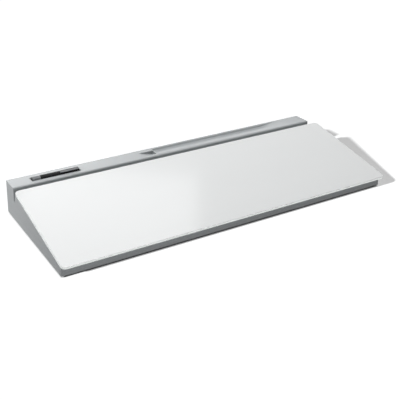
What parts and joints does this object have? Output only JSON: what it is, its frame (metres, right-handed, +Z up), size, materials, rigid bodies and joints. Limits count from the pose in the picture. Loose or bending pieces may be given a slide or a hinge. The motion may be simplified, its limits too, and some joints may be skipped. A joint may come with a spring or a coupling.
{
  "type": "desk whiteboard pad with device slot, marker rail and drawer",
  "caption": "Sloped white glass writing panel on a hollow wedge base, with a full-length device slot, a rail with a marker recess and pen trough, and an end drawer.",
  "frame": {"origin": "desk level, under the centre of the overall box", "axes": "+X to the right along the panel's long side, +Y to the back towards the rail, +Z up"},
  "size_m": [0.4572, 0.1926, 0.0478],
  "materials": {
    "shell_plastic": "fine satin texture, light cool grey",
    "tray_plastic": "satin, mid grey",
    "plate_plastic": "textured, dark grey",
    "guide_plastic": "natural, slightly waxy",
    "screw_steel": "zinc plated",
    "foot_rubber": "matte black",
    "white_glass": "polished, opaque white behind",
    "sheet_steel": "galvanised",
    "tape_foam": "closed-cell foam, matte",
    "marker_black": "satin black",
    "marker_grey": "satin grey",
    "ink_felt": "ink-soaked fibre",
    "tip_plastic": "satin white",
    "nib_felt": "felt"
  },
  "bodies": {
    "base": {"base_housing": "shell_plastic", "base_plate": "plate_plastic", "plate_screws": "screw_steel", "foot_front_left": "foot_rubber", "foot_front_right": "foot_rubber", "foot_rear_left": "foot_rubber", "foot_rear_right": "foot_rubber", "glass_panel": "white_glass", "steel_sheet": "sheet_steel", "foam_tapes": "tape_foam", "drawer_guide_front": "guide_plastic", "drawer_guide_rear": "guide_plastic"},
    "drawer": {"drawer_tray": "tray_plastic", "drawer_face": "shell_plastic"},
    "marker": {"marker_barrel": "marker_black", "marker_end_plug": "marker_grey", "marker_ink_core": "ink_felt", "marker_tip_holder": "tip_plastic", "marker_nib": "nib_felt", "marker_cap": "marker_black", "marker_clip": "marker_grey"}
  },
  "joints": [
    {"name": "drawer_slide", "type": "slide", "parent": "base", "child": "drawer", "axis": [1, 0, 0], "range_m": [0, 0.14]},
    {"name": "marker_lift", "type": "slide", "parent": "base", "child": "marker", "axis": [0, 0, 1], "range_m": [0, 0.06]}
  ]
}
